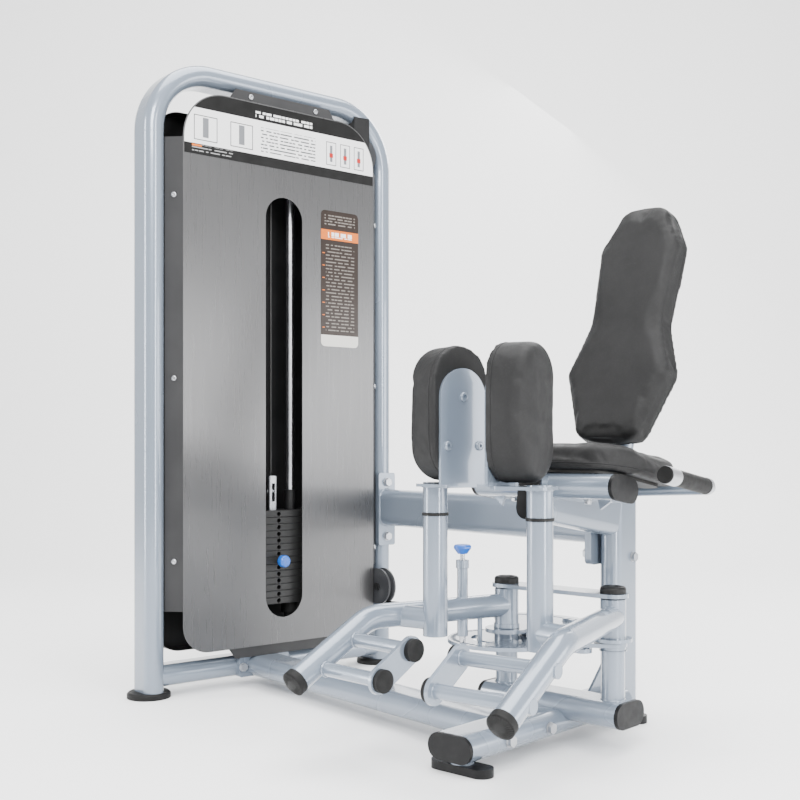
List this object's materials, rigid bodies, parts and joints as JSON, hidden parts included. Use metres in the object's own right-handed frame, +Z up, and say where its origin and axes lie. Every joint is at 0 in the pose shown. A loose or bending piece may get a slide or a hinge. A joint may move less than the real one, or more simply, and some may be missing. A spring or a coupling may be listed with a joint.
{
  "type": "seated inner and outer thigh machine",
  "caption": "Weight-stack gym machine with a guarded tower, a boom, a tilted seat and backrest, and two swinging leg arms with thigh pads.",
  "frame": {"origin": "middle of the machine's outline at floor level", "axes": "+X from the tower towards the seat unit's far side, +Y towards the back of the seat (the sitter faces -Y), +Z up"},
  "size_m": [1.2538, 0.9222, 1.51],
  "materials": {
    "frame_paint": "satin",
    "guard_paint": "satin",
    "cover_paint": "satin",
    "plate_paint": "satin",
    "chrome": "polished",
    "bright_steel": "brushed",
    "black_rubber": "matt",
    "black_plastic": "matt",
    "label_film": "satin",
    "pad_leather": "grained",
    "board_wood": "painted",
    "cable_jacket": "gloss"
  },
  "bodies": {
    "frame": {"back_board": "board_wood", "back_cushion": "pad_leather", "back_support": "frame_paint", "base_bar": "frame_paint", "base_beam": "frame_paint", "boom": "frame_paint", "cross_tube": "frame_paint", "floor_feet": "black_rubber", "foot_tube": "frame_paint", "frame_bolts": "bright_steel", "front_panel": "guard_paint", "grip_rings": "chrome", "guard_brackets": "cover_paint", "guide_rods": "chrome", "handle_grips": "black_rubber", "handle_tubes": "frame_paint", "hoop_leg_front": "frame_paint", "hoop_leg_rear": "frame_paint", "hoop_pads": "black_rubber", "hoop_top": "frame_paint", "lift_cable": "cable_jacket", "link_bar": "frame_paint", "low_pulley_bracket": "cover_paint", "panel_labels": "label_film", "pivot_caps": "black_plastic", "pivot_posts": "frame_paint", "rear_cover": "cover_paint", "resting_plates": "plate_paint", "run_cable": "cable_jacket", "seat_beam": "frame_paint", "seat_board": "board_wood", "seat_crossbar": "frame_paint", "seat_cushion": "pad_leather", "seat_post": "frame_paint", "side_wings": "guard_paint", "stack_buffers": "black_rubber", "top_hangers": "cover_paint", "tube_caps": "black_plastic", "wing_screws": "bright_steel"},
    "stack": {"lifted_plates": "plate_paint", "head_plate": "plate_paint", "guide_bushes": "black_plastic", "selector_rod": "bright_steel"},
    "selector": {"selector_pin": "chrome"},
    "disc": {"selector_disc": "frame_paint", "fan_cam": "frame_paint", "cam_cable": "cable_jacket"},
    "rod": {"tie_rod": "frame_paint"},
    "left_leg_arm": {"arm_left": "frame_paint", "arm_caps_left": "black_plastic"},
    "right_leg_arm": {"arm_right": "frame_paint", "arm_caps_right": "black_plastic"},
    "pop": {"pop_pin": "chrome"},
    "left_pad": {"pad_mount_left": "frame_paint", "pad_cushion_left": "pad_leather"},
    "right_pad": {"pad_mount_right": "frame_paint", "pad_cushion_right": "pad_leather"},
    "low_wheel": {"pulley_low": "black_plastic"},
    "stack_wheel": {"pulley_stack": "black_plastic"},
    "drop_wheel": {"pulley_drop": "black_plastic"}
  },
  "joints": [
    {"name": "stack_lift", "type": "slide", "parent": "frame", "child": "stack", "axis": [0, 0, 1], "range_m": [0, 0.16], "deforming": ["lift_cable"]},
    {"name": "selector_slide", "type": "slide", "parent": "stack", "child": "selector", "axis": [0.9898, -0.1426, 0], "range_m": [0, 0.08]},
    {"name": "disc_turn", "type": "hinge", "parent": "frame", "child": "disc", "pos_m": [0.2366, 0.0583, 0.24], "axis": [0, 0, -1], "range_deg": [0, 46]},
    {"name": "rod_swing", "type": "hinge", "parent": "disc", "child": "rod", "pos_m": [0.23765, 0.11829, 0.196], "axis": [0, 0, 1], "range_deg": [0, 46]},
    {"name": "left_arm_swing", "type": "hinge", "parent": "frame", "child": "left_leg_arm", "pos_m": [0.2366, 0.0583, 0.24], "axis": [0, 0, -1], "range_deg": [0, 46]},
    {"name": "right_arm_swing", "type": "hinge", "parent": "frame", "child": "right_leg_arm", "pos_m": [0.4936, 0.0583, 0.24], "axis": [0, 0, 1], "range_deg": [0, 46]},
    {"name": "pop_pin_pull", "type": "slide", "parent": "left_leg_arm", "child": "pop", "axis": [0, 0, 1], "range_m": [0, 0.012], "stiffness_N_per_m": 600, "springref_m": -0.012},
    {"name": "left_pad_swivel", "type": "hinge", "parent": "left_leg_arm", "child": "left_pad", "pos_m": [0.2421, -0.1797, 0.461], "axis": [0, 0, 1], "range_deg": [0, 180]},
    {"name": "right_pad_swivel", "type": "hinge", "parent": "right_leg_arm", "child": "right_pad", "pos_m": [0.4881, -0.1797, 0.461], "axis": [0, 0, -1], "range_deg": [0, 180]},
    {"name": "low_wheel_spin", "type": "hinge", "parent": "frame", "child": "low_wheel", "pos_m": [-0.40324, 0.35933, 0.218], "axis": [-0.1426, -0.9898, 0], "range_deg": [0, 230]},
    {"name": "stack_wheel_spin", "type": "hinge", "parent": "frame", "child": "stack_wheel", "pos_m": [-0.51003, 0.11177, 1.367], "axis": [-0.9675, 0.2528, 0], "range_deg": [0, 230]},
    {"name": "drop_wheel_spin", "type": "hinge", "parent": "frame", "child": "drop_wheel", "pos_m": [-0.45418, 0.32551, 1.367], "axis": [-0.9675, 0.2528, 0], "range_deg": [0, 230]}
  ],
  "couplings": [
    {"joint": "disc_turn", "follows": "stack_lift", "rad_per_m": 4.8382},
    {"joint": "rod_swing", "follows": "stack_lift", "rad_per_m": 4.8382},
    {"joint": "left_arm_swing", "follows": "stack_lift", "rad_per_m": 4.8382},
    {"joint": "right_arm_swing", "follows": "stack_lift", "rad_per_m": 4.8382},
    {"joint": "low_wheel_spin", "follows": "stack_lift", "rad_per_m": 24.39},
    {"joint": "stack_wheel_spin", "follows": "stack_lift", "rad_per_m": 24.39},
    {"joint": "drop_wheel_spin", "follows": "stack_lift", "rad_per_m": 24.39}
  ]
}
